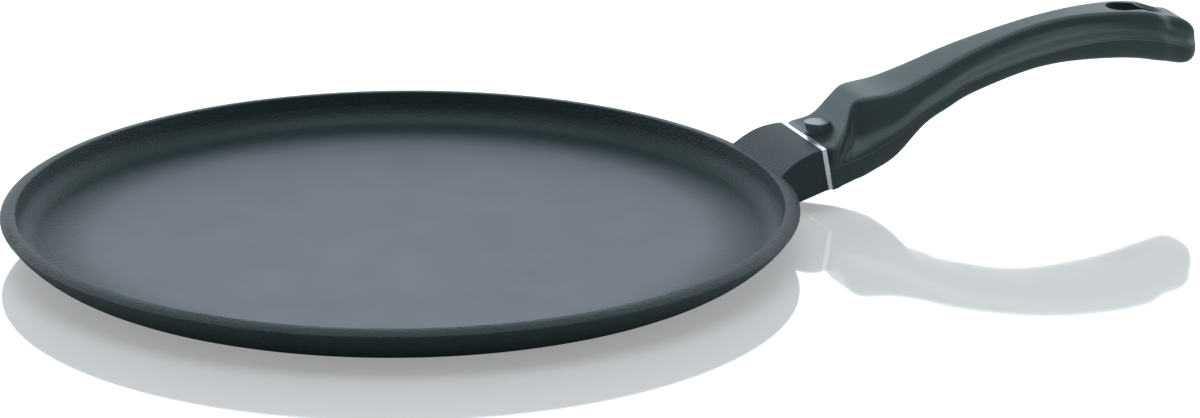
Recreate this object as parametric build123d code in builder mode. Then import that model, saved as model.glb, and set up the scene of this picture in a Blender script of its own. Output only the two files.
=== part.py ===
import os
from math import cos, radians, sin, tan

from build123d import *

os.makedirs("parts", exist_ok=True)

# the pan: a cast dish with a sloping rim, on a machined base
pan_diameter = 280.0
base_diameter = 234.0
rim_height = 15.9
rim_width = 5.4
rim_drop = 1.65
rim_crown = 0.6
rim_edge_radius = 0.5
outer_wall_bulge = 2.9
floor_thickness = 5.6
floor_diameter = 265.6
floor_corner_radius = 7.0

# the bracket: a short cast stub that carries the tongue
bracket_length = 14.35
socket_lift = 15.4
socket_tilt = 10.5
bracket_top_inset = 4.4
bracket_top_crown = 1.7
bracket_low_inset = 3.5
bracket_low_height = 3.6
bracket_waist_length = 5.5
bracket_waist_width = 40.4
bracket_root_inset = 3.0
bracket_root_width = 43.4
bracket_foot_inset = 9.0
bracket_foot_width = 52.0
bracket_edge_radius = 0.6
bracket_gap = 0.1
wall_depth = 4.0

# the tongue: a forked steel bar whose wide root is cast into the bracket
tongue_width = 20.0
tongue_thickness = 4.2
tongue_length = 27.0
tongue_root_width = 26.0
tongue_root_length = 5.5
tongue_neck_length = 5.5
tongue_drop = 0.5
tongue_tip_radius = 2.5
tongue_side_gap = 0.15
tongue_face_gap = 0.1
fork_slot_width = 5.6
groove_depth = 1.5
groove_start = 9.7
groove_end = 14.5

# the release button on the deck, its stem, and the leaf that it presses
button_diameter = 9.0
button_proud = 3.6
button_slant = 12.0
button_edge_radius = 0.35
button_travel = 2.0
button_place = 6.7
button_gap = 0.2
flange_diameter = 12.0
flange_thickness = 1.1
flange_gap = 0.1
deck_thickness = 1.6
stem_diameter = 5.0
stem_gap = 0.3
stem_seat_depth = 3.8
stem_seat_gap = 0.02
leaf_thickness = 0.6
leaf_width = 12.4
leaf_gap = 0.2
leaf_bend_radius = 0.45
leaf_start = 5.0
leaf_end = 28.5
leaf_rise_start = 20.0
leaf_rise_end = 22.5
catch_foot = 14.0
catch_back = 13.6
catch_front = 12.6
catch_slope_foot = 10.6
catch_height = 1.55
leaf_room = 0.5
leaf_side_room = 0.6
window_start = 3.5
window_end = 23.0
window_width = 13.0

# the steel plate and the sleeve behind it
plate_width = 36.4
plate_thickness = 0.85
plate_skirt = 1.0
plate_corner_radius = 0.8
sleeve_wall = 0.8
sleeve_past_tip = 2.0
sleeve_fit = 0.1

# the grip: two moulded shells round a steel strap
grip_length = 151.65
grip_wall = 3.2
band_edge_radius = 1.9
nose_length = 9.0
strap_thickness = 2.5
strap_width = 14.0
strap_bend_radius = 8.0
strap_start = 14.0
strap_bend = 29.5
strap_gap = 0.15
hang_hole_front_radius = 5.6
hang_hole_rear_radius = 4.0
hang_hole_length = 19.8
hang_hole_end = 13.4
dish_radius = 11.0
dish_setback = 14.5

# fasteners
rivet_diameter = 3.0
rivet_head_diameter = 5.0
rivet_head_height = 1.2
rivet_spacing = 7.0
rivet_gap = 0.15
screw_diameter = 3.0
screw_gap = 0.2
screw_head_diameter = 5.6
screw_head_height = 1.9
screw_head_cover = 3.2
front_screw_place = 62.0
rear_screw_place = 103.0
insert_diameter = 4.8
insert_length = 4.0
front_insert_rise = 2.3
rear_insert_rise = 0.8
insert_gap = 0.02
overrun = 6.0

# where the socket stands, and heights in it from its middle line: what stacks up under the deck sets the plate
pan_radius = pan_diameter / 2
socket_reach = pan_radius + bracket_length
tongue_low = -tongue_thickness / 2 - tongue_drop
tongue_high = tongue_low + tongue_thickness
sleeve_inner_low = tongue_low - tongue_face_gap
sleeve_inner_high = tongue_high + tongue_face_gap
sleeve_low = sleeve_inner_low - sleeve_wall
sleeve_high = sleeve_inner_high + sleeve_wall
flange_low = sleeve_high + flange_gap + button_travel
flange_high = flange_low + flange_thickness
deck_high = flange_high + deck_thickness
stack_height = 2 * deck_high
plate_low = -deck_high - plate_skirt
plate_middle = (deck_high + plate_low) / 2
plate_height = deck_high - plate_low
socket_depth = 2 * plate_thickness
leaf_high = tongue_low - leaf_gap
sleeve_inner_width = tongue_width + 2 * tongue_side_gap
sleeve_width = sleeve_inner_width + 2 * sleeve_wall
sleeve_length = tongue_length + sleeve_past_tip
strap_rivet_place = (strap_start + strap_bend) / 2
leaf_rivet_place = (window_end + leaf_end) / 2
hang_hole_rear_x = socket_reach + grip_length - hang_hole_end - hang_hole_rear_radius
hang_hole_front_x = hang_hole_rear_x + hang_hole_rear_radius - hang_hole_length + hang_hole_front_radius

# the socket's planes: its own x runs out of the pan along the tongue, and its z is square to that
tilt = radians(socket_tilt)
along = (cos(tilt), 0, sin(tilt))
upright = (-sin(tilt), 0, cos(tilt))
socket = Plane(origin=(socket_reach, 0, socket_lift), x_dir=along, z_dir=upright)
socket_face = Plane(origin=(socket_reach, 0, socket_lift), x_dir=(0, 1, 0), z_dir=along)
socket_side = Plane(origin=(socket_reach, 0, socket_lift), x_dir=along, z_dir=(0, -1, 0))


def socket_point(out, up):
    """A place on the middle plane, from distances along the socket and square to it."""
    return (
        socket_reach + out * cos(tilt) - up * sin(tilt),
        socket_lift + out * sin(tilt) + up * cos(tilt),
    )


def face_plane(out):
    """The plane square to the socket, some distance out from the bracket's end."""
    return socket_face.offset(out)


# the grip's outline, station by station: place along it, then the heights of the top, the seam
# and the underside over the socket's line as shares of the stack's height, then the half width,
# the half width of the top band, how full the flank is, and how square the belly is
station_shares = (
    (-0.030, 0.500, -0.055, -0.568, 0.500, 0.440, 1.00, 28.0),
    (0.012, 0.500, -0.055, -0.568, 0.500, 0.440, 1.00, 28.0),
    (0.037, 0.506, -0.045, -0.655, 0.500, 0.430, 0.92, 12.0),
    (0.060, 0.640, -0.034, -0.688, 0.503, 0.320, 0.42, 5.4),
    (0.080, 0.925, -0.017, -0.712, 0.503, 0.245, 0.25, 4.0),
    (0.100, 1.180, 0.006, -0.712, 0.503, 0.230, 0.09, 3.6),
    (0.123, 1.240, 0.044, -0.696, 0.502, 0.270, 0.08, 3.3),
    (0.156, 1.207, 0.130, -0.650, 0.495, 0.300, 0.06, 3.0),
    (0.196, 1.172, 0.235, -0.510, 0.480, 0.310, 0.05, 2.9),
    (0.235, 1.195, 0.410, -0.180, 0.461, 0.302, 0.03, 3.0),
    (0.288, 1.280, 0.624, 0.185, 0.436, 0.275, 0.00, 3.2),
    (0.354, 1.402, 0.830, 0.375, 0.412, 0.242, 0.00, 3.2),
    (0.433, 1.512, 0.965, 0.500, 0.396, 0.195, 0.00, 3.1),
    (0.538, 1.583, 1.012, 0.570, 0.390, 0.152, 0.00, 3.0),
    (0.644, 1.556, 0.986, 0.473, 0.398, 0.145, 0.00, 3.0),
    (0.749, 1.392, 0.840, 0.229, 0.412, 0.190, 0.00, 3.0),
    (0.842, 1.155, 0.560, -0.070, 0.410, 0.232, 0.02, 3.0),
    (0.900, 0.905, 0.300, -0.325, 0.391, 0.215, 0.06, 2.9),
)
nose_shares = (0.941, 0.700, 0.070, -0.510, 0.365, 0.185, 0.14, 2.8)
nose_step_shares = (0.45, 0.78, 0.94, 0.995)
nose_end_share = -0.200
nose_roundness = 2.3
nose_fullness = 0.85

# the flank hollows out over the seam: at these levels, and by this height and power
level_shares = (0.13, 0.28, 0.46, 0.70, 1.00)
hollow_height_share = 0.26
hollow_power = 2.2
belly_angles = (22, 45, 68)

# the strap's bends along the grip, and the seam's height at the screws, as shares of length and stack height
strap_shares = ((0.354, 0.881), (0.538, 1.066), (0.624, 1.031))
front_seam_share = 0.925
rear_seam_share = 0.942
dish_share = 0.780
hollow_rows = station_shares[9:12]


def line_height(out, share):
    """The height at some distance along the grip: the socket's line, and a share of the stack over it."""
    return socket_lift + out * tan(tilt) + share * stack_height


def station_place(shares):
    """Where a station stands: its x, and its heights of top, seam and underside."""
    out = shares[0] * grip_length
    top, seam, low = (line_height(out, share) for share in shares[1:4])
    return socket_reach + out, top, seam, low


def section_outline(top, seam, low, half, band, fullness, squareness):
    """Half a cross-section, from the middle of the underside round to the top corner, and the corner's radius."""
    rise = top - seam
    depth = seam - low
    edge = min(band_edge_radius, rise / 4, band / 2)
    points = [(0, low)]
    for angle in reversed(belly_angles):
        out = cos(radians(angle)) ** (2 / squareness)
        down = sin(radians(angle)) ** (2 / squareness)
        points += [(half * out, seam - depth * down)]
    points += [(half, seam)]
    for level in level_shares:
        up = level * (1 - edge / rise)
        hollow = 1 / (1 + (up / hollow_height_share) ** hollow_power)
        out = fullness + (1 - fullness) * hollow
        points += [(band + (half - band) * out, seam + rise * up)]
    return points, edge


def grip_sections(inset, rows):
    """The cross-sections of the grip, each drawn in by the same wall."""
    sections = []
    for row in rows:
        x, top, seam, low = station_place(row)
        half = plate_width * row[4] - inset
        band = plate_width * row[5] - inset
        points, edge = section_outline(top - inset, seam, low + inset, half, band, *row[6:])
        sections += [section_face(x, points, edge)]
    return sections


def nose_sections():
    """Cross-sections that sink, shrink and fill out to the rounded end of the grip."""
    x, top, seam, low = station_place(nose_shares)
    half = plate_width * nose_shares[4]
    band = plate_width * nose_shares[5]
    end = line_height(x + nose_length - socket_reach, nose_end_share)
    sections = []
    for step in (0,) + nose_step_shares:
        shrink = (1 - step**nose_roundness) ** (1 / nose_roundness)
        middle = seam + (end - seam) * step
        points, edge = section_outline(
            middle + (top - seam) * shrink,
            middle,
            middle - (seam - low) * shrink,
            half * shrink,
            band * shrink,
            nose_shares[6] + (nose_fullness - nose_shares[6]) * step,
            nose_shares[7],
        )
        sections += [section_face(x + nose_length * step, points, edge)]
    return sections


def section_face(x, points, edge):
    """One closed cross-section at x: the half outline with its round corner and flat top, and its mirror image."""
    shoulder = points[-1]
    corner = (shoulder[0] - edge, shoulder[1] + edge)
    with BuildSketch(Plane.YZ.offset(x)) as section:
        with BuildLine():
            Spline(*points, tangents=((1, 0), (0, 1)))
            TangentArc(shoulder, corner, tangent=(0, 1))
            Line(corner, (0, corner[1]))
            mirror(about=Plane.YZ)
        make_face()
    return section.sketch


def strap_path(lead):
    """The strap's bends in the side view, from its lead in to its far end."""
    middle = sleeve_high + strap_thickness / 2
    points = [socket_point(strap_start - lead, middle), socket_point(strap_bend, middle)]
    for shares in strap_shares:
        out = shares[0] * grip_length
        points += [(socket_reach + out, line_height(out, shares[1]))]
    last, end = points[-2], points[-1]
    stretch = lead / ((end[0] - last[0]) ** 2 + (end[1] - last[1]) ** 2) ** 0.5
    points[-1] = (end[0] + (end[0] - last[0]) * stretch, end[1] + (end[1] - last[1]) * stretch)
    return points


# the tongue: root and neck in plan, then the fork's slot and the groove for the catch
with BuildPart() as pan_tongue:
    with BuildSketch(socket.offset(tongue_low)) as blade:
        with Locations((-tongue_neck_length, 0)):
            Rectangle(
                tongue_length + tongue_neck_length,
                tongue_width,
                align=(Align.MIN, Align.CENTER),
            )
        fillet(blade.vertices().group_by(Axis.X)[-1], tongue_tip_radius)
        with Locations((-tongue_neck_length, 0)):
            Rectangle(
                tongue_root_length,
                tongue_root_width,
                align=(Align.MAX, Align.CENTER),
            )
        with Locations((button_place, 0)):
            Circle(fork_slot_width / 2, mode=Mode.SUBTRACT)
            Rectangle(
                tongue_length,
                fork_slot_width,
                align=(Align.MIN, Align.CENTER),
                mode=Mode.SUBTRACT,
            )
    extrude(amount=tongue_thickness)
    with BuildSketch(socket.offset(tongue_low)):
        with Locations((groove_start, 0)):
            Rectangle(
                groove_end - groove_start,
                tongue_width + overrun,
                align=(Align.MIN, Align.CENTER),
            )
    extrude(amount=groove_depth, mode=Mode.SUBTRACT)
pan_tongue.part.label = "pan_tongue"

# the bracket's shape: its side view, kept to its plan view, with rounded long edges
with BuildPart() as bracket:
    with BuildSketch(Plane.XZ):
        with BuildLine():
            foot = (pan_radius - bracket_top_inset, rim_height - rim_drop / 3)
            heel = (pan_radius - bracket_low_inset, bracket_low_height)
            top = socket_point(-bracket_gap, deck_high)
            low = socket_point(-bracket_gap, plate_low)
            SagittaArc(foot, top, bracket_top_crown)
            Polyline(
                foot,
                (foot[0] - wall_depth, foot[1] - wall_depth),
                (heel[0] - wall_depth, heel[1] + wall_depth),
                heel,
                low,
                top,
            )
        make_face()
    extrude(amount=bracket_foot_width, both=True)
    with BuildSketch(Plane.XY):
        with BuildLine():
            Line(
                (pan_radius - bracket_foot_inset, 0),
                (pan_radius - bracket_foot_inset, -bracket_foot_width / 2),
            )
            Spline(
                (pan_radius - bracket_foot_inset, -bracket_foot_width / 2),
                (pan_radius - bracket_root_inset, -bracket_root_width / 2),
                (pan_radius + bracket_waist_length, -bracket_waist_width / 2),
                (socket_reach, -plate_width / 2),
                (socket_reach + overrun, -plate_width / 2),
                tangents=((1, 1.6), (1, 0)),
            )
            Line((socket_reach + overrun, -plate_width / 2), (socket_reach + overrun, 0))
            mirror(about=Plane.XZ)
        make_face()
    extrude(amount=socket_lift + plate_height, mode=Mode.INTERSECT)
    fillet(bracket.edges().filter_by(GeomType.BSPLINE).sort_by(SortBy.LENGTH)[-4:], bracket_edge_radius)

# the pan: the cast dish with its bracket, the hollow of the dish, and the bed of the tongue
rim_low = rim_height - rim_drop
with BuildPart() as pan_body:
    with BuildSketch(Plane.XZ) as dish_outline:
        with BuildLine():
            Line((0, 0), (base_diameter / 2, 0))
            SagittaArc((base_diameter / 2, 0), (pan_radius, rim_low), -outer_wall_bulge)
            SagittaArc((pan_radius, rim_low), (pan_radius - rim_width, rim_height), -rim_crown)
            Polyline((pan_radius - rim_width, rim_height), (0, rim_height), (0, 0))
        make_face()
        fillet(dish_outline.vertices().group_by(Axis.X)[-1], rim_edge_radius)
    revolve(axis=Axis.Z)
    add(bracket.part)
    with BuildSketch(Plane.XZ):
        with BuildLine():
            FilletPolyline(
                (0, floor_thickness),
                (floor_diameter / 2, floor_thickness),
                (pan_radius - rim_width, rim_height),
                radius=floor_corner_radius,
            )
            Polyline(
                (pan_radius - rim_width, rim_height),
                (pan_radius - rim_width, rim_height + overrun),
                (0, rim_height + overrun),
                (0, floor_thickness),
            )
        make_face()
    revolve(axis=Axis.Z, mode=Mode.SUBTRACT)
    fillet(pan_body.edges().filter_by(GeomType.CIRCLE).sort_by(SortBy.LENGTH)[-1], rim_edge_radius)
    add(pan_tongue.part, mode=Mode.SUBTRACT)
pan_body.part.label = "pan_body"

tongue_middle = (tongue_low + tongue_high) / 2

# the plate that faces the bracket
with BuildPart() as front_plate:
    with BuildSketch(face_plane(0)):
        with Locations((0, plate_middle)):
            RectangleRounded(plate_width, plate_height, plate_corner_radius)
        with Locations((0, tongue_middle)):
            Rectangle(
                sleeve_inner_width,
                sleeve_inner_high - sleeve_inner_low,
                mode=Mode.SUBTRACT,
            )
    extrude(amount=plate_thickness)
front_plate.part.label = "front_plate"

# the sleeve: its flange against the plate, its tube, and the openings for the stem, the leaf and the rivets
with BuildPart() as socket_sleeve:
    with BuildSketch(face_plane(plate_thickness)):
        with Locations((0, plate_middle)):
            RectangleRounded(plate_width, plate_height, plate_corner_radius)
    extrude(amount=plate_thickness)
    with BuildSketch(face_plane(plate_thickness)):
        with Locations((0, tongue_middle)):
            Rectangle(sleeve_width, sleeve_high - sleeve_low)
    extrude(amount=sleeve_length - plate_thickness)
    with BuildSketch(face_plane(plate_thickness)):
        with Locations((0, tongue_middle)):
            Rectangle(sleeve_inner_width, sleeve_inner_high - sleeve_inner_low)
    extrude(amount=sleeve_length, mode=Mode.SUBTRACT)
    with BuildSketch(socket.offset(tongue_middle)):
        with Locations((button_place, 0)):
            Circle(stem_diameter / 2 + stem_gap)
        with GridLocations(rivet_spacing, 0, 2, 1):
            with Locations((strap_rivet_place, 0)):
                Circle(rivet_diameter / 2)
    extrude(amount=plate_height / 2, mode=Mode.SUBTRACT)
    with BuildSketch(socket.offset(tongue_middle)):
        with Locations(((window_start + window_end) / 2, 0)):
            Rectangle(window_end - window_start, window_width)
        with GridLocations(0, rivet_spacing, 1, 2):
            with Locations((leaf_rivet_place, 0)):
                Circle(rivet_diameter / 2)
    extrude(amount=-plate_height / 2, mode=Mode.SUBTRACT)
socket_sleeve.part.label = "socket_sleeve"

# the leaf with its catch, bent from one strip
leaf_middle = leaf_high - leaf_thickness / 2
leaf_seat = sleeve_low - leaf_thickness / 2
with BuildPart() as latch_spring:
    with BuildSketch(socket_side):
        with BuildLine():
            FilletPolyline(
                (leaf_end, leaf_seat),
                (leaf_rise_end, leaf_seat),
                (leaf_rise_start, leaf_middle),
                (catch_foot, leaf_middle),
                (catch_back, leaf_middle + catch_height),
                (catch_front, leaf_middle + catch_height),
                (catch_slope_foot, leaf_middle),
                (leaf_start, leaf_middle),
                radius=leaf_bend_radius,
            )
        trace(line_width=leaf_thickness)
    extrude(amount=leaf_width / 2, both=True)
    with BuildSketch(socket.offset(leaf_seat)):
        with GridLocations(0, rivet_spacing, 1, 2):
            with Locations((leaf_rivet_place, 0)):
                Circle(rivet_diameter / 2)
    extrude(amount=leaf_thickness, both=True, mode=Mode.SUBTRACT)
latch_spring.part.label = "latch_spring"

# the two rivets that hold the leaf: shanks flush inside the sleeve, heads below
with BuildPart() as latch_rivets:
    with BuildSketch(socket.offset(sleeve_low - leaf_thickness)):
        with GridLocations(0, rivet_spacing, 1, 2):
            with Locations((leaf_rivet_place, 0)):
                Circle(rivet_diameter / 2)
    extrude(amount=sleeve_wall + leaf_thickness)
    with BuildSketch(socket.offset(sleeve_low - leaf_thickness)):
        with GridLocations(0, rivet_spacing, 1, 2):
            with Locations((leaf_rivet_place, 0)):
                Circle(rivet_head_diameter / 2)
    extrude(amount=-rivet_head_height)
latch_rivets.part.label = "latch_rivets"

# the two rivets that hold the strap: shanks flush inside the sleeve, heads above
with BuildPart() as strap_rivets:
    with BuildSketch(socket.offset(sleeve_inner_high)):
        with GridLocations(rivet_spacing, 0, 2, 1):
            with Locations((strap_rivet_place, 0)):
                Circle(rivet_diameter / 2)
    extrude(amount=sleeve_wall + strap_thickness)
    with BuildSketch(socket.offset(sleeve_high + strap_thickness)):
        with GridLocations(rivet_spacing, 0, 2, 1):
            with Locations((strap_rivet_place, 0)):
                Circle(rivet_head_diameter / 2)
    extrude(amount=rivet_head_height)
strap_rivets.part.label = "strap_rivets"

# the button: its flange under the deck, its cap with a slanted top, and the blind bore for the stem
with BuildPart() as release_button:
    with BuildSketch(socket.offset(flange_low)):
        with Locations((button_place, 0)):
            Circle(flange_diameter / 2)
        with Locations((socket_depth + flange_gap, 0)):
            Rectangle(
                flange_diameter,
                flange_diameter,
                align=(Align.MAX, Align.CENTER),
                mode=Mode.SUBTRACT,
            )
    extrude(amount=flange_thickness)
    with BuildSketch(socket.offset(flange_low)):
        with Locations((button_place, 0)):
            Circle(button_diameter / 2)
    extrude(amount=deck_high - flange_low + button_proud + button_diameter / 2)
    with BuildSketch(socket_side):
        with Locations((button_place, deck_high + button_proud)):
            Rectangle(
                button_diameter * 2,
                button_diameter,
                rotation=-button_slant,
                align=(Align.CENTER, Align.MIN),
            )
    extrude(amount=button_diameter, both=True, mode=Mode.SUBTRACT)
    fillet(release_button.faces().sort_by(Axis.Z)[-1].edges(), button_edge_radius)
    with BuildSketch(socket.offset(flange_low)):
        with Locations((button_place, 0)):
            Circle(stem_diameter / 2 + stem_seat_gap)
    extrude(amount=stem_seat_depth, mode=Mode.SUBTRACT)
release_button.part.label = "release_button"

# the stem, from the button's bore down to the leaf
with BuildPart() as button_stem:
    with BuildSketch(socket.offset(leaf_high)):
        with Locations((button_place, 0)):
            Circle(stem_diameter / 2)
    extrude(amount=flange_low + stem_seat_depth - leaf_high)
button_stem.part.label = "button_stem"

# the two screws, upright from below, and their inserts over the seam: the front one goes through the strap
screw_rows = (
    (front_screw_place, front_seam_share, front_insert_rise),
    (rear_screw_place, rear_seam_share, rear_insert_rise),
)
screw_places = [
    (socket_reach + out, line_height(out, share) - screw_head_cover, line_height(out, share) + rise)
    for out, share, rise in screw_rows
]

with BuildPart() as thread_inserts:
    for x, head, start in screw_places:
        with BuildSketch(Plane.XY.offset(start)):
            with Locations((x, 0)):
                Circle(insert_diameter / 2)
                Circle(screw_diameter / 2 + insert_gap, mode=Mode.SUBTRACT)
        extrude(amount=insert_length)
thread_inserts.part.label = "thread_inserts"

with BuildPart() as shell_screws:
    for x, head, start in screw_places:
        with BuildSketch(Plane.XY.offset(head)):
            with Locations((x, 0)):
                Circle(screw_diameter / 2)
        extrude(amount=start + insert_length - head)
        with BuildSketch(Plane.XY.offset(head)):
            with Locations((x, 0)):
                Circle(screw_head_diameter / 2)
        extrude(amount=-screw_head_height)
shell_screws.part.label = "shell_screws"

# the strap: flat on the sleeve, then bent up along the middle of the grip
with BuildPart() as core_strap:
    with BuildSketch(Plane.XZ):
        with BuildLine():
            FilletPolyline(*strap_path(0), radius=strap_bend_radius)
        trace(line_width=strap_thickness)
    extrude(amount=strap_width / 2, both=True)
    with BuildSketch(socket.offset(sleeve_high - strap_thickness)):
        with GridLocations(rivet_spacing, 0, 2, 1):
            with Locations((strap_rivet_place, 0)):
                Circle(rivet_diameter / 2)
    extrude(amount=plate_height, mode=Mode.SUBTRACT)
    with BuildSketch():
        with Locations((socket_reach + front_screw_place, 0)):
            Circle(screw_diameter / 2 + screw_gap)
    extrude(amount=grip_length, mode=Mode.SUBTRACT)
core_strap.part.label = "core_strap"

# the whole grip in one piece, cut square behind the sleeve's flange
with BuildPart() as grip:
    loft(sections=grip_sections(0, station_shares) + nose_sections())
    with BuildSketch(face_plane(socket_depth)):
        Rectangle(plate_width * 2, plate_height * 2)
    extrude(amount=-grip_length, mode=Mode.SUBTRACT)

# what the shells leave free: the sleeve, the leaf, the button, the strap and the rivets' heads
with BuildPart() as core_room:
    with BuildSketch(face_plane(socket_depth)):
        with Locations((0, tongue_middle)):
            Rectangle(
                sleeve_width + 2 * sleeve_fit,
                sleeve_high - sleeve_low + 2 * sleeve_fit,
            )
    extrude(amount=sleeve_length + sleeve_fit - socket_depth)
    with BuildSketch(socket.offset(sleeve_low)):
        with Locations((window_start, 0)):
            Rectangle(
                sleeve_length + leaf_room - window_start,
                leaf_width + 2 * leaf_side_room,
                align=(Align.MIN, Align.CENTER),
            )
    extrude(amount=-leaf_thickness - button_travel)
    with BuildSketch(socket.offset(sleeve_high)):
        with Locations((button_place, 0)):
            Circle(flange_diameter / 2 + button_gap)
    extrude(amount=flange_high - sleeve_high)
    with BuildSketch(socket.offset(sleeve_high)):
        with Locations((button_place, 0)):
            Circle(button_diameter / 2 + button_gap)
    extrude(amount=plate_height)
    with BuildSketch(socket.offset(sleeve_high)):
        with GridLocations(rivet_spacing, 0, 2, 1):
            with Locations((strap_rivet_place, 0)):
                Circle(rivet_head_diameter / 2 + rivet_gap)
    extrude(amount=strap_thickness + rivet_head_height + rivet_gap)
    with BuildSketch(Plane.XZ):
        with BuildLine():
            FilletPolyline(*strap_path(strap_gap), radius=strap_bend_radius)
        trace(line_width=strap_thickness + 2 * strap_gap)
    extrude(amount=strap_width / 2 + strap_gap, both=True)
    loft(sections=grip_sections(grip_wall, hollow_rows))

# the hanging hole's long teardrop
with BuildPart() as hang_hole:
    with BuildSketch():
        with Locations((hang_hole_front_x, 0)):
            Circle(hang_hole_front_radius)
        with Locations((hang_hole_rear_x, 0)):
            Circle(hang_hole_rear_radius)
        make_hull()
    extrude(amount=grip_length)

# everything below the seam
seam_places = [station_place(shares) for shares in station_shares + (nose_shares,)]
seam_points = [(x, seam) for x, top, seam, low in seam_places]
with BuildPart() as under_seam:
    with BuildSketch(Plane.XZ):
        with BuildLine():
            seam_line = Spline(*seam_points)
            Polyline(
                seam_line @ 1,
                (socket_reach + grip_length + overrun, (seam_line @ 1).Y),
                (socket_reach + grip_length + overrun, -overrun),
                (socket_reach - overrun, -overrun),
                (socket_reach - overrun, (seam_line @ 0).Y),
                seam_line @ 0,
            )
        make_face()
    extrude(amount=plate_width, both=True)

# the shallow dish at the end of the hole
dish_out = grip_length - dish_setback
dish_low = line_height(dish_out, dish_share)
with BuildPart() as thumb_dish:
    with Locations((socket_reach + dish_out, 0, dish_low + dish_radius)):
        Sphere(dish_radius)

# the upper shell, with the beds of the inserts
with BuildPart() as upper_shell:
    add(grip.part)
    for taken in (under_seam, core_room, hang_hole, thumb_dish):
        add(taken.part, mode=Mode.SUBTRACT)
    for x, head, start in screw_places:
        with BuildSketch(Plane.XY.offset(head)):
            with Locations((x, 0)):
                Circle(insert_diameter / 2 + insert_gap)
        extrude(amount=start + insert_length - head, mode=Mode.SUBTRACT)
upper_shell.part.label = "upper_shell"

# the lower shell, with the counterbores of the screws
with BuildPart() as lower_shell:
    add(grip.part)
    add(under_seam.part, mode=Mode.INTERSECT)
    for taken in (core_room, hang_hole):
        add(taken.part, mode=Mode.SUBTRACT)
    for x, head, start in screw_places:
        with BuildSketch(Plane.XY.offset(head)):
            with Locations((x, 0)):
                Circle(screw_diameter / 2 + screw_gap)
        extrude(amount=start - head, mode=Mode.SUBTRACT)
        with BuildSketch(Plane.XY.offset(head)):
            with Locations((x, 0)):
                Circle(screw_head_diameter / 2 + screw_gap)
        extrude(amount=-plate_height, mode=Mode.SUBTRACT)
lower_shell.part.label = "lower_shell"

for piece in (
    pan_body,
    pan_tongue,
    front_plate,
    socket_sleeve,
    core_strap,
    strap_rivets,
    latch_spring,
    latch_rivets,
    release_button,
    button_stem,
    upper_shell,
    lower_shell,
    shell_screws,
    thread_inserts,
):
    export_step(piece.part, f"parts/{piece.part.label}.step")
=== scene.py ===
import math

import bpy
from mathutils import Matrix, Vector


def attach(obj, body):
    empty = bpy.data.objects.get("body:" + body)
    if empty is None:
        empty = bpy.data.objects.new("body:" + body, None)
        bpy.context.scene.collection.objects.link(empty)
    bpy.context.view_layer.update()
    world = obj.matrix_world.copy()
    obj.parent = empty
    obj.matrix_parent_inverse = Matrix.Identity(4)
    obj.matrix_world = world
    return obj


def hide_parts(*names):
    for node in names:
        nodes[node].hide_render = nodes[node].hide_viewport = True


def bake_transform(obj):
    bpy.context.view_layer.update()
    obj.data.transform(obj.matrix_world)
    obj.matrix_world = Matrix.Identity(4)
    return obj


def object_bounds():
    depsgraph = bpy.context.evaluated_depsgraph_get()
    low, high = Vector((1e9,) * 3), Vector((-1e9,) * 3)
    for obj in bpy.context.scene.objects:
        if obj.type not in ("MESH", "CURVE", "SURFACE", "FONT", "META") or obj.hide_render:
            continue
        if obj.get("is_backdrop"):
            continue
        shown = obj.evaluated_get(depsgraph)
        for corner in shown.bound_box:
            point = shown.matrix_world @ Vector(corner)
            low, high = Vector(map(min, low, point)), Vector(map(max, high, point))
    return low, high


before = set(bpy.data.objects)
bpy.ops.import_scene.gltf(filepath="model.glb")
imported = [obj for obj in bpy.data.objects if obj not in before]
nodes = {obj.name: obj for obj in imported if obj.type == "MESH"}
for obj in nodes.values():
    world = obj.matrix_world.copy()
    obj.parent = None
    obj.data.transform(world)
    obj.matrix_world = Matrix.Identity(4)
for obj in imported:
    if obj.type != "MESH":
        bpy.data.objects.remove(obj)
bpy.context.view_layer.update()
print("frame loaded:", len(nodes), "nodes")

mm = 0.001
white = (1, 1, 1)


# Node helpers

def newMaterial(name):
    material = bpy.data.materials.new(name)
    material.use_nodes = True
    shader = material.node_tree.nodes["Principled BSDF"]
    return material, material.node_tree, shader


def addNode(tree, kind, **settings):
    node = tree.nodes.new(kind)
    for key, value in settings.items():
        setattr(node, key, value)
    return node


def feed(tree, socket, value):
    # a value is another node's output, or a number, colour or vector for the socket itself
    if hasattr(value, "is_linked"):
        tree.links.new(value, socket)
    elif socket.type == "RGBA":
        socket.default_value = (*value, 1)
    else:
        socket.default_value = value


def addMath(tree, operation, *values):
    node = addNode(tree, "ShaderNodeMath", operation=operation)
    for socket, value in zip(node.inputs, values):
        feed(tree, socket, value)
    return node.outputs[0]


def addRamp(tree, value, low, high):
    # a soft step from 0 at low to 1 at high
    node = addNode(tree, "ShaderNodeMapRange", interpolation_type="SMOOTHSTEP")
    feed(tree, node.inputs["Value"], value)
    feed(tree, node.inputs["From Min"], low)
    feed(tree, node.inputs["From Max"], high)
    return node.outputs["Result"]


def addMix(tree, kind, mask, first, second):
    node = addNode(tree, "ShaderNodeMix", data_type=kind)
    for name, value in (("Factor", mask), ("A", first), ("B", second)):
        feed(tree, node.inputs[name], value)
    return node.outputs["Result"]


def mixColours(tree, mask, first, second):
    return addMix(tree, "RGBA", mask, first, second)


def mixNumbers(tree, mask, first, second):
    return addMix(tree, "FLOAT", mask, first, second)


def mixShaders(tree, mask, first, second):
    node = addNode(tree, "ShaderNodeMixShader")
    for socket, value in zip(node.inputs, (mask, first, second)):
        feed(tree, socket, value)
    return node.outputs[0]


def addBump(tree, shader, height, distance):
    bump = addNode(tree, "ShaderNodeBump")
    feed(tree, bump.inputs["Distance"], distance)
    feed(tree, bump.inputs["Height"], height)
    feed(tree, shader.inputs["Normal"], bump.outputs["Normal"])


def addPlace(tree):
    # where a point of the piece is, as X, Y and Z
    place = addNode(tree, "ShaderNodeTexCoord")
    apart = addNode(tree, "ShaderNodeSeparateXYZ")
    feed(tree, apart.inputs[0], place.outputs["Object"])
    return apart.outputs


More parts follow.
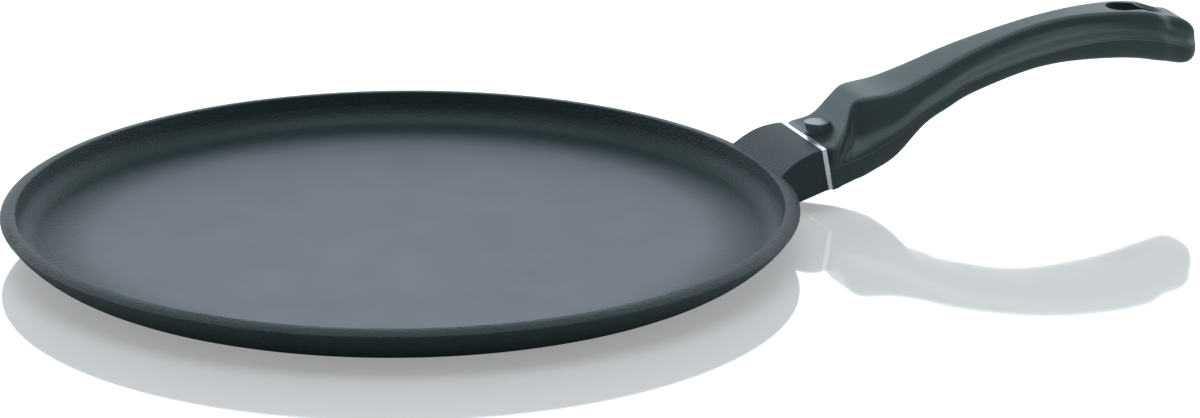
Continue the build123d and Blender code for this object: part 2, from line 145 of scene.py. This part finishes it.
def placeGroup(tree, group, **values):
    node = addNode(tree, "ShaderNodeGroup", node_tree=group)
    for name, value in values.items():
        feed(tree, node.inputs[name], value)
    return node.outputs


def dress(node, material):
    node.data.materials.clear()
    node.data.materials.append(material)


# Mesh helpers: pieces are shaped in edit mode, and faces are chosen by where they look or lie

flatLimit = 0.7  # a face looks up or down when its normal's height is past this
levelSlack = 0.01 * mm  # faces this near in height are level
mergeDistance = 0.001 * mm
shadeAngle = 32.0  # degrees, for the pieces that are modelled here


def startPiece(name, radius, depth, sides):
    bpy.ops.object.select_all(action="DESELECT")
    bpy.ops.mesh.primitive_cylinder_add(
        vertices=sides, radius=radius, depth=depth, location=(0, 0, depth / 2)
    )
    bpy.ops.object.transform_apply(location=True, rotation=True, scale=True)
    piece = bpy.context.object
    piece.name = name
    piece.data.name = name
    return piece


def takeNode(node, name):
    # a copy of a CAD node's mesh and material, with its loose triangles merged
    bpy.ops.object.select_all(action="DESELECT")
    piece = bpy.data.objects.new(name, nodes[node].data.copy())
    bpy.context.scene.collection.objects.link(piece)
    piece.select_set(True)
    bpy.context.view_layer.objects.active = piece
    bpy.ops.mesh.customdata_custom_splitnormals_clear()
    bpy.ops.object.mode_set(mode="EDIT")
    bpy.ops.mesh.select_all(action="SELECT")
    bpy.ops.mesh.remove_doubles(threshold=mergeDistance)
    bpy.ops.object.mode_set(mode="OBJECT")
    return piece


def chooseFaces(piece, test):
    # edit mode is left and entered again so that the choice holds
    bpy.ops.object.mode_set(mode="EDIT")
    bpy.ops.mesh.select_mode(type="FACE")
    bpy.ops.mesh.select_all(action="DESELECT")
    bpy.ops.object.mode_set(mode="OBJECT")
    for face in piece.data.polygons:
        face.select = test(face)
    bpy.ops.object.mode_set(mode="EDIT")


def isUp(face):
    return face.normal.z > flatLimit


def isDown(face):
    return face.normal.z < -flatLimit


def extrudeUp(distance):
    bpy.ops.mesh.extrude_region_move(TRANSFORM_OT_translate={"value": (0, 0, distance)})


def roundEdge(width, steps):
    # the outline of the chosen faces is rounded
    bpy.ops.mesh.region_to_loop()
    bpy.ops.mesh.bevel(offset=width, segments=steps, affect="EDGES", clamp_overlap=True)
    bpy.ops.object.mode_set(mode="OBJECT")


def cutOff(place, direction):
    # all that lies past the plane goes, and the cut is closed
    bpy.ops.mesh.select_all(action="SELECT")
    bpy.ops.mesh.bisect(plane_co=place, plane_no=direction, use_fill=True, clear_outer=True)


def finishPiece(piece, place, node, body):
    # into its place in the frame, with its object back at the origin
    bpy.ops.object.mode_set(mode="OBJECT")
    bpy.ops.object.shade_smooth_by_angle(angle=math.radians(shadeAngle))
    piece.matrix_world = place
    bpy.ops.object.transform_apply(location=True, rotation=True, scale=True)
    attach(piece, body)
    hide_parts(node)


# Shared effects

def makeGrainGroup():
    # a fine cast or moulded grain: height for a bump, and a slow mottle between 0 and 1
    group = bpy.data.node_groups.new("surfaceGrain", "ShaderNodeTree")
    face = group.interface
    face.new_socket("Grain Size", in_out="INPUT", socket_type="NodeSocketFloat")
    face.new_socket("Mottle Size", in_out="INPUT", socket_type="NodeSocketFloat")
    face.new_socket("Height", in_out="OUTPUT", socket_type="NodeSocketFloat")
    face.new_socket("Mottle", in_out="OUTPUT", socket_type="NodeSocketFloat")
    ins = addNode(group, "NodeGroupInput")
    outs = addNode(group, "NodeGroupOutput")
    place = addNode(group, "ShaderNodeTexCoord")
    for size, output, detail in (("Grain Size", "Height", 3), ("Mottle Size", "Mottle", 2)):
        noise = addNode(group, "ShaderNodeTexNoise")
        feed(group, noise.inputs["Detail"], detail)
        feed(group, noise.inputs["Scale"], addMath(group, "DIVIDE", 1.0, ins.outputs[size]))
        feed(group, noise.inputs["Vector"], place.outputs["Object"])
        feed(group, outs.inputs[output], noise.outputs["Fac"])
    return group


def makeBrushGroup():
    # long thin brushing marks, stretched by a Mapping node's scale
    group = bpy.data.node_groups.new("brushedMarks", "ShaderNodeTree")
    face = group.interface
    face.new_socket("Stretch", in_out="INPUT", socket_type="NodeSocketVector")
    face.new_socket("Marks", in_out="OUTPUT", socket_type="NodeSocketFloat")
    ins = addNode(group, "NodeGroupInput")
    outs = addNode(group, "NodeGroupOutput")
    place = addNode(group, "ShaderNodeTexCoord")
    mapping = addNode(group, "ShaderNodeMapping")
    feed(group, mapping.inputs["Vector"], place.outputs["Object"])
    feed(group, mapping.inputs["Scale"], ins.outputs["Stretch"])
    noise = addNode(group, "ShaderNodeTexNoise")
    feed(group, noise.inputs["Scale"], 1.0)
    feed(group, noise.inputs["Detail"], 4)
    feed(group, noise.inputs["Vector"], mapping.outputs["Vector"])
    feed(group, outs.inputs["Marks"], noise.outputs["Fac"])
    return group


def placeGrain(tree, look):
    sizes = {"Grain Size": look["grainSize"], "Mottle Size": look["mottleSize"]}
    grain = placeGroup(tree, grainGroup, **sizes)
    return grain["Height"], grain["Mottle"]


grainGroup = makeGrainGroup()
brushGroup = makeBrushGroup()
print("shared effects ready")


# The pan: a dark satin coat inside and out, with a painted bluish sheen on the cooking floor,
# and a bare turned base

panLook = {
    "coatColour": (0.009, 0.023, 0.021),
    "coatMottleColour": (0.013, 0.029, 0.027),
    # painted sheen: the cooking floor gets a lighter, bluer colour than the walls, standing in
    # for the bluish sheen it shows
    "cookingSheenColour": (0.030, 0.040, 0.056),
    "coatSheen": (0.80, 0.90, 1.0),
    "coatRoughness": (0.40, 0.46),
    "wallRoughness": 0.10,  # added to the coat's own on the walls
    "grainSize": 0.9 * mm,
    "mottleSize": 22 * mm,
    "grainDepth": 0.38 * mm,
    "floorGrain": 0.045,  # shares of the grain's depth, on the cooking floor and the bracket
    "bracketGrain": 0.45,
    "bracketStart": (138 * mm, 142 * mm),
    "floorRadius": (102 * mm, 126 * mm),  # the cooking floor turns into the wall between these
    "baseColour": (0.56, 0.57, 0.58),
    "baseEdgeColour": (0.46, 0.47, 0.48),
    "baseRoughness": (0.28, 0.42),
    "baseHeight": 0.25 * mm,  # whatever is lower than this is the base
    "turningPitch": 0.55 * mm,
    "turningShare": 0.10,  # of the grain's depth
}


def makePanMaterial(look):
    material, tree, shader = newMaterial("coatedCastAluminium")
    place = addPlace(tree)
    castGrain, mottle = placeGrain(tree, look)
    squareX = addMath(tree, "MULTIPLY", place["X"], place["X"])
    squareY = addMath(tree, "MULTIPLY", place["Y"], place["Y"])
    radius = addMath(tree, "SQRT", addMath(tree, "ADD", squareX, squareY))
    isBase = addMath(tree, "LESS_THAN", place["Z"], look["baseHeight"])
    isWall = addRamp(tree, radius, *look["floorRadius"])
    isBracket = addRamp(tree, place["X"], *look["bracketStart"])

    wallCoat = mixColours(tree, mottle, look["coatColour"], look["coatMottleColour"])
    # the cooking floor's lighter colour is a painted sheen, which fades into the walls' coat
    coat = mixColours(tree, isWall, look["cookingSheenColour"], wallCoat)
    metal = mixColours(tree, mottle, look["baseEdgeColour"], look["baseColour"])
    feed(tree, shader.inputs["Base Color"], mixColours(tree, isBase, coat, metal))
    feed(tree, shader.inputs["Metallic"], isBase)
    shader.inputs["Specular Tint"].default_value = (*look["coatSheen"], 1)

    floorRough = mixNumbers(tree, mottle, *look["coatRoughness"])
    addedRough = addMath(tree, "MULTIPLY", isWall, look["wallRoughness"])
    coatRough = addMath(tree, "ADD", floorRough, addedRough)
    baseRough = mixNumbers(tree, mottle, *look["baseRoughness"])
    feed(tree, shader.inputs["Roughness"], mixNumbers(tree, isBase, coatRough, baseRough))

    # the cooking floor is smooth, and the cast walls and bracket are grainy
    wallGrain = mixNumbers(tree, isBracket, 1.0, look["bracketGrain"])
    grainShare = mixNumbers(tree, isWall, look["floorGrain"], wallGrain)
    castHeight = addMath(tree, "MULTIPLY", castGrain, grainShare)
    turns = addMath(tree, "MULTIPLY", radius, 2 * math.pi / look["turningPitch"])
    rings = addMath(tree, "SINE", turns)
    turnedHeight = addMath(tree, "MULTIPLY", rings, look["turningShare"])
    height = mixNumbers(tree, isBase, castHeight, turnedHeight)
    addBump(tree, shader, height, look["grainDepth"])
    return material


dress(nodes["pan_body"], makePanMaterial(panLook))
print("pan dressed")


# The grip's shells: satin moulded plastic, with a painted highlight for the fine light line at
# the parting seam's edge

shellLook = {
    "colour": (0.026, 0.043, 0.042),
    "mottleColour": (0.032, 0.051, 0.050),
    # painted highlight: the light caught by the seam's small rounded edge is painted in this
    # lighter colour
    "seamHighlightColour": (0.085, 0.105, 0.105),
    "sheen": (0.84, 0.97, 1.0),
    "roughness": (0.40, 0.45),
    "grainSize": 0.5 * mm,
    "mottleSize": 30 * mm,
    "grainDepth": 0.012 * mm,
    "seamHighlightWidth": 0.16 * mm,
    "shadeAngle": 35.0,
}
# the socket's middle line starts at the plate and rises towards the tip
socketLine = {
    "start": 154.35 * mm,
    "height": 15.4 * mm,
    "angle": 10.5,
}
# the seam's height over the socket's line: each place is a share of the length and of the rise
seamLine = {
    "length": 151.65 * mm,
    "rise": 14.6 * mm,
    "lowest": -0.1,  # the curve node holds 0 to 1 for "lowest" to "lowest" plus "range"
    "range": 1.2,
    "places": (
        (0.000, -0.055), (0.037, -0.045), (0.060, -0.034), (0.080, -0.017), (0.100, 0.006),
        (0.123, 0.044), (0.156, 0.130), (0.196, 0.235), (0.235, 0.410), (0.288, 0.624),
        (0.354, 0.830), (0.433, 0.965), (0.538, 1.012), (0.644, 0.986), (0.749, 0.840),
        (0.842, 0.560), (0.900, 0.300), (0.941, 0.070),
    ),
}
# the shells' tip has a hollow in each side: the vertices round "middle", in X and Z, are pushed
# out by up to "amount", from none at the hanging hole's edge to all of it at "fullFrom"
tipFilling = {
    "middle": (294.8 * mm, 47.8 * mm),
    "reach": 4.3 * mm,
    "above": 5.0 * mm,
    "below": 2.9 * mm,
    "lean": 0.5,
    "amount": 2.3 * mm,
    "holeEdge": 5.8 * mm,
    "fullFrom": 9.0 * mm,
}


# a thin band round the seam's height, where the seam's highlight is painted
def makeSeamHighlightMask(tree, line, width):
    place = addPlace(tree)
    out = addMath(tree, "SUBTRACT", place["X"], socketLine["start"])
    heights = addNode(tree, "ShaderNodeFloatCurve")
    points = heights.mapping.curves[0].points
    spots = [(along, (high - line["lowest"]) / line["range"]) for along, high in line["places"]]
    points[0].location = spots[0]
    points[1].location = spots[-1]
    for spot in spots[1:-1]:
        points.new(*spot)
    heights.mapping.update()
    feed(tree, heights.inputs["Value"], addMath(tree, "DIVIDE", out, line["length"]))
    lifted = addMath(tree, "MULTIPLY", heights.outputs[0], line["range"] * line["rise"])
    slope = math.tan(math.radians(socketLine["angle"]))
    sloping = addMath(tree, "MULTIPLY", out, slope)
    base = socketLine["height"] + line["lowest"] * line["rise"]
    seam = addMath(tree, "ADD", addMath(tree, "ADD", lifted, sloping), base)
    gap = addMath(tree, "ABSOLUTE", addMath(tree, "SUBTRACT", place["Z"], seam))
    return addRamp(tree, gap, width, width / 2)


def makePlasticMaterial(name, look, line=None):
    material, tree, shader = newMaterial(name)
    height, mottle = placeGrain(tree, look)
    colour = mixColours(tree, mottle, look["colour"], look["mottleColour"])
    if line:
        # the seam's highlight is painted into the shells' colour
        seam = makeSeamHighlightMask(tree, line, look["seamHighlightWidth"])
        colour = mixColours(tree, seam, colour, look["seamHighlightColour"])
    feed(tree, shader.inputs["Base Color"], colour)
    shader.inputs["Specular Tint"].default_value = (*look["sheen"], 1)
    feed(tree, shader.inputs["Roughness"], mixNumbers(tree, mottle, *look["roughness"]))
    addBump(tree, shader, height, look["grainDepth"])
    return material


def fillTip(piece, filling):
    middleX, middleZ = filling["middle"]
    for vertex in piece.data.vertices:
        x, y, z = vertex.co
        along = (x - middleX + filling["lean"] * (z - middleZ)) / filling["reach"]
        up = (z - middleZ) / (filling["above"] if z > middleZ else filling["below"])
        side = (abs(y) - filling["holeEdge"]) / (filling["fullFrom"] - filling["holeEdge"])
        side = min(max(side, 0), 1)
        near = math.exp(-along * along - up * up)
        push = filling["amount"] * near * side * side * (3 - 2 * side)  # a soft start and end
        vertex.co.y += math.copysign(push, y)


def finishShell(piece, node):
    bpy.ops.object.shade_smooth_by_angle(angle=math.radians(shellLook["shadeAngle"]))
    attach(piece, "handle")
    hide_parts(node)


# both copies get the same filling, so that they still meet at the seam
shellMaterial = makePlasticMaterial("blackPhenolic", shellLook, seamLine)
for node, name in (("upper_shell", "gripUpperShell"), ("lower_shell", "gripLowerShell")):
    dress(nodes[node], shellMaterial)
    shell = takeNode(node, name)
    fillTip(shell, tipFilling)
    finishShell(shell, node)
print("grip made")


# The release button: a slanted round cap on a flange, with the stem's seat under it

buttonShape = {
    "sides": 96,
    "flangeRadius": 6.0 * mm,
    "flangeHigh": 1.1 * mm,
    "capRadius": 4.5 * mm,
    "capHigh": 6.3 * mm,  # from the flange's underside to the middle of the slanted top
    "slant": 12.0,
    "edge": 0.3 * mm,
    "edgeSteps": 5,
    "topRing": 0.1 * mm,
    "front": 4.9 * mm,  # the flange is cut flat this far before the middle
    "seatRadius": 2.53 * mm,
    "seatDeep": 3.8 * mm,
    "underside": 4.6 * mm,  # over the socket's middle line
    "out": 6.7 * mm,  # from the line's start
}
buttonLook = {
    "colour": (0.090, 0.112, 0.124),
    "mottleColour": (0.100, 0.122, 0.134),
    "sheen": (0.85, 0.95, 1.0),
    "roughness": (0.24, 0.29),
    "grainSize": 0.4 * mm,
    "mottleSize": 8 * mm,
    "grainDepth": 0.003 * mm,
}


def makeButton(shape):
    piece = startPiece(
        "releaseButton", shape["flangeRadius"], shape["flangeHigh"], shape["sides"]
    )
    chooseFaces(piece, isDown)
    bpy.ops.mesh.inset(thickness=shape["flangeRadius"] - shape["seatRadius"])
    extrudeUp(shape["seatDeep"])
    bpy.ops.object.mode_set(mode="OBJECT")
    flangeTop = max(face.center.z for face in piece.data.polygons if isUp(face)) - levelSlack
    chooseFaces(piece, lambda face: isUp(face) and face.center.z > flangeTop)
    bpy.ops.mesh.inset(thickness=shape["flangeRadius"] - shape["capRadius"])
    extrudeUp(2 * shape["capHigh"])  # more than enough for the slanted cut

    slant = math.radians(shape["slant"])
    cutOff((0, 0, shape["capHigh"]), (math.sin(slant), 0, math.cos(slant)))
    cutOff((-shape["front"], 0, 0), (-1, 0, 0))
    bpy.ops.object.mode_set(mode="OBJECT")
    capMiddle = shape["capHigh"] / 2
    chooseFaces(piece, lambda face: isUp(face) and face.center.z > capMiddle)
    roundEdge(shape["edge"], shape["edgeSteps"])

    # a ring just inside the rounded edge keeps the top's shading flat
    tops = [face for face in piece.data.polygons if isUp(face) and face.center.z > capMiddle]
    largest = max(tops, key=lambda face: face.area).index
    chooseFaces(piece, lambda face: face.index == largest)
    bpy.ops.mesh.inset(thickness=shape["topRing"])
    bpy.ops.mesh.select_all(action="SELECT")
    bpy.ops.mesh.normals_make_consistent(inside=False)
    atPlate = Matrix.Translation((socketLine["start"], 0, socketLine["height"]))
    tilt = Matrix.Rotation(math.radians(-socketLine["angle"]), 4, "Y")
    along = Matrix.Translation((shape["out"], 0, shape["underside"]))
    finishPiece(piece, atPlate @ tilt @ along, "release_button", "button")
    return piece


button = makeButton(buttonShape)
dress(button, makePlasticMaterial("buttonPlastic", buttonLook))
dress(nodes["release_button"], button.data.materials[0])
print("button made")


# The metal pieces: brushed plate and sleeve, plain bars, spring, screws and brass inserts

metalLooks = {
    "stainlessPlate": {
        "nodes": ("front_plate", "socket_sleeve"),
        "colour": (0.80, 0.82, 0.82),
        "markColour": (0.70, 0.72, 0.73),
        "roughness": (0.22, 0.34),
        "stretch": (4000, 60, 4000),
        "depth": 0.004 * mm,
    },
    "stainlessBar": {
        "nodes": ("pan_tongue", "core_strap", "button_stem", "strap_rivets", "latch_rivets"),
        "colour": (0.60, 0.61, 0.61),
        "markColour": (0.50, 0.51, 0.52),
        "roughness": (0.30, 0.42),
        "stretch": (120, 3000, 3000),
        "depth": 0.005 * mm,
    },
    "springSteel": {
        "nodes": ("latch_spring",),
        "colour": (0.42, 0.43, 0.45),
        "markColour": (0.34, 0.35, 0.38),
        "roughness": (0.26, 0.38),
        "stretch": (150, 3500, 3500),
        "depth": 0.004 * mm,
    },
    "zincScrew": {
        "nodes": ("shell_screws",),
        "colour": (0.55, 0.56, 0.58),
        "markColour": (0.45, 0.46, 0.49),
        "roughness": (0.24, 0.40),
        "stretch": (1500, 1500, 300),
        "depth": 0.004 * mm,
    },
    "brass": {
        "nodes": ("thread_inserts",),
        "colour": (0.72, 0.55, 0.28),
        "markColour": (0.62, 0.45, 0.20),
        "roughness": (0.28, 0.42),
        "stretch": (900, 900, 900),
        "depth": 0.004 * mm,
    },
}


def makeMetalMaterial(name, look):
    material, tree, shader = newMaterial(name)
    marks = placeGroup(tree, brushGroup, Stretch=look["stretch"])["Marks"]
    colour = mixColours(tree, marks, look["markColour"], look["colour"])
    feed(tree, shader.inputs["Base Color"], colour)
    shader.inputs["Metallic"].default_value = 1
    feed(tree, shader.inputs["Roughness"], mixNumbers(tree, marks, *look["roughness"]))
    addBump(tree, shader, marks, look["depth"])
    return material


for name, look in metalLooks.items():
    material = makeMetalMaterial(name, look)
    for node in look["nodes"]:
        dress(nodes[node], material)
print("metal pieces dressed")


# The latch's leaf: a smooth-shaded copy of the latch spring's mesh, in its place; on the real
# latch it bends from its rivets to the button's stem as the button is pressed

leafBend = {
    "rivets": (177.5 * mm, 0, 16.7 * mm),
    "stem": (164.4 * mm, 0, 14.3 * mm),
    "shadeAngle": 30.0,
}
leaf = takeNode("latch_spring", "latchLeaf")
bpy.ops.object.shade_smooth_by_angle(angle=math.radians(leafBend["shadeAngle"]))
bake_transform(leaf)
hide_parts("latch_spring")
print("leaf made")


# The two shell screws: pan heads with a cross recess, seen from below in their counterbores

screwShape = {
    "sides": 48,
    "headRadius": 2.79 * mm,
    "headHigh": 1.9 * mm,
    "headEdge": 0.55 * mm,
    "edgeSteps": 4,
    "shankRadius": 1.5 * mm,
    "tip": 0.4 * mm,
    "tipShare": 0.7,  # of the shank's radius
    "slotLong": 3.2 * mm,
    "slotWide": 0.75 * mm,
    "slotDeep": 1.1 * mm,
    "slotTurns": (0, 90),
    # for each screw its X, the underside of its head and its tip
    "places": ((216.35 * mm, 35.296 * mm, 46.696 * mm), (257.35 * mm, 43.143 * mm, 53.043 * mm)),
}


def makeScrew(shape, x, low, high):
    piece = startPiece("shellScrew", shape["headRadius"], shape["headHigh"], shape["sides"])
    chooseFaces(piece, isDown)
    roundEdge(shape["headEdge"], shape["edgeSteps"])
    chooseFaces(piece, isUp)
    bpy.ops.mesh.inset(thickness=shape["headRadius"] - shape["shankRadius"])
    extrudeUp(high - low - shape["headHigh"] - shape["tip"])
    extrudeUp(shape["tip"])
    bpy.ops.transform.resize(value=(shape["tipShare"], shape["tipShare"], 1))
    bpy.ops.object.mode_set(mode="OBJECT")
    # the recess is cut by a cross of two bars, half of each below the head
    for turn in shape["slotTurns"]:
        bpy.ops.object.select_all(action="DESELECT")
        bpy.ops.mesh.primitive_cube_add(size=1, rotation=(0, 0, math.radians(turn)))
        bar = bpy.context.object
        bar.scale = (shape["slotLong"], shape["slotWide"], 2 * shape["slotDeep"])
        bpy.ops.object.transform_apply(location=True, rotation=True, scale=True)
        bpy.ops.object.select_all(action="DESELECT")
        piece.select_set(True)
        bpy.context.view_layer.objects.active = piece
        cut = piece.modifiers.new("recess", "BOOLEAN")
        cut.operation = "DIFFERENCE"
        cut.solver = "EXACT"
        cut.object = bar
        bpy.ops.object.modifier_apply(modifier=cut.name)
        bpy.data.objects.remove(bar)
    finishPiece(piece, Matrix.Translation((x, 0, low)), "shell_screws", "handle")
    return piece


for x, low, high in screwShape["places"]:
    screw = makeScrew(screwShape, x, low, high)
    dress(screw, nodes["shell_screws"].data.materials[0])
print("screws made")


# The floor, the light and the camera

floorLook = {
    "size": 30.0,
    "height": -0.2 * mm,
    "openRadius": 115.5 * mm,
    "colour": (0.60, 0.60, 0.60),
    "roughness": 0.9,
    "glow": 0.54,  # only the camera sees the glow and the mirror
    "mirrorShare": 0.42,
    "mirrorRoughness": 0.05,
}


def makeFloor(look):
    bpy.ops.object.select_all(action="DESELECT")
    bpy.ops.mesh.primitive_plane_add(size=look["size"], location=(0, 0, look["height"]))
    floor = bpy.context.object
    floor.name = "floor"
    material, tree, shader = newMaterial("paleFloor")
    shader.inputs["Base Color"].default_value = (*look["colour"], 1)
    shader.inputs["Roughness"].default_value = look["roughness"]
    shader.inputs["Specular IOR Level"].default_value = 0
    shader.inputs["Emission Color"].default_value = (*white, 1)
    seen = addNode(tree, "ShaderNodeLightPath").outputs["Is Camera Ray"]
    glow = addMath(tree, "MULTIPLY", seen, look["glow"])
    feed(tree, shader.inputs["Emission Strength"], glow)
    mirror = addNode(tree, "ShaderNodeBsdfGlossy")
    mirror.inputs["Color"].default_value = (*white, 1)
    mirror.inputs["Roughness"].default_value = look["mirrorRoughness"]
    mirrorShare = addMath(tree, "MULTIPLY", seen, look["mirrorShare"])
    solid = mixShaders(tree, mirrorShare, shader.outputs[0], mirror.outputs[0])

    # from below, and under the middle of the pan, the floor is clear, so that the base shows
    clear = addNode(tree, "ShaderNodeBsdfTransparent")
    place = addNode(tree, "ShaderNodeTexCoord")
    reach = addNode(tree, "ShaderNodeVectorMath", operation="LENGTH")
    feed(tree, reach.inputs[0], place.outputs["Object"])
    isUnder = addMath(tree, "LESS_THAN", reach.outputs["Value"], look["openRadius"])
    isBelow = addNode(tree, "ShaderNodeNewGeometry").outputs["Backfacing"]
    isClear = addMath(tree, "MAXIMUM", isUnder, isBelow)
    surface = mixShaders(tree, isClear, solid, clear.outputs[0])
    feed(tree, tree.nodes["Material Output"].inputs["Surface"], surface)
    floor.data.materials.append(material)
    floor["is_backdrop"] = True


lightLook = {
    "nearTint": (0.93, 0.98, 1.0),
    "farTint": (0.84, 0.93, 1.0),
    "farSide": (0.383, 0.924, 0.0),  # away from the camera
    "sideBlend": (-0.6, 0.6),
    "nearStrength": 0.34,
    "farStrength": 2.0,
    "ringStrength": 0.22,
    "topStrength": 2.2,
    "underStrength": 0.75,
    "ringHeights": (0.50, 0.62),  # heights of the light's direction, from -1 to 1
    "topHeights": (0.84, 0.93),
    "underHeights": (-0.02, -0.2),
}


def makeWorld(look):
    # a plain studio: a bright wall behind the pan and a dim one before it, a darker ring above
    # them, a soft box overhead, and a plain fill from below
    world = bpy.data.worlds.new("studioLight")
    world.use_nodes = True
    bpy.context.scene.world = world
    tree = world.node_tree
    direction = addNode(tree, "ShaderNodeTexCoord").outputs["Generated"]
    apart = addNode(tree, "ShaderNodeSeparateXYZ")
    feed(tree, apart.inputs[0], direction)
    height = apart.outputs["Z"]
    around = addNode(tree, "ShaderNodeVectorMath", operation="DOT_PRODUCT")
    feed(tree, around.inputs[0], direction)
    feed(tree, around.inputs[1], look["farSide"])
    isFar = addRamp(tree, around.outputs["Value"], *look["sideBlend"])
    isRing = addRamp(tree, height, *look["ringHeights"])
    isTop = addRamp(tree, height, *look["topHeights"])
    isBelow = addRamp(tree, height, *look["underHeights"])
    walls = mixNumbers(tree, isFar, look["nearStrength"], look["farStrength"])
    withRing = mixNumbers(tree, isRing, walls, look["ringStrength"])
    withTop = mixNumbers(tree, isTop, withRing, look["topStrength"])
    light = mixNumbers(tree, isBelow, withTop, look["underStrength"])
    tint = mixColours(tree, isFar, look["nearTint"], look["farTint"])

    # the camera itself sees plain white behind the object
    seen = addNode(tree, "ShaderNodeLightPath").outputs["Is Camera Ray"]
    background = tree.nodes["Background"]
    feed(tree, background.inputs["Color"], mixColours(tree, seen, tint, white))
    feed(tree, background.inputs["Strength"], mixNumbers(tree, seen, light, 1.0))


cameraLook = {
    "place": (-1.0379, -2.6889, 0.9421),
    "turn": 22.493,
    "dip": 17.848,
    "roll": -0.11,
    "lens": 259.79,
    "sensor": 36.0,
}


def makeCamera(look):
    data = bpy.data.cameras.new("camera")
    data.sensor_width = look["sensor"]
    data.lens = look["lens"]
    camera = bpy.data.objects.new("camera", data)
    bpy.context.scene.collection.objects.link(camera)
    turn = Matrix.Rotation(math.radians(-look["turn"]), 4, "Z")
    dip = Matrix.Rotation(math.radians(90 - look["dip"]), 4, "X")
    roll = Matrix.Rotation(math.radians(look["roll"]), 4, "Z")
    camera.matrix_world = Matrix.Translation(look["place"]) @ turn @ dip @ roll
    bpy.context.scene.camera = camera


makeFloor(floorLook)
makeWorld(lightLook)
makeCamera(cameraLook)
bpy.context.scene.view_settings.view_transform = "Standard"
print("floor, light and camera ready")

low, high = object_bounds()
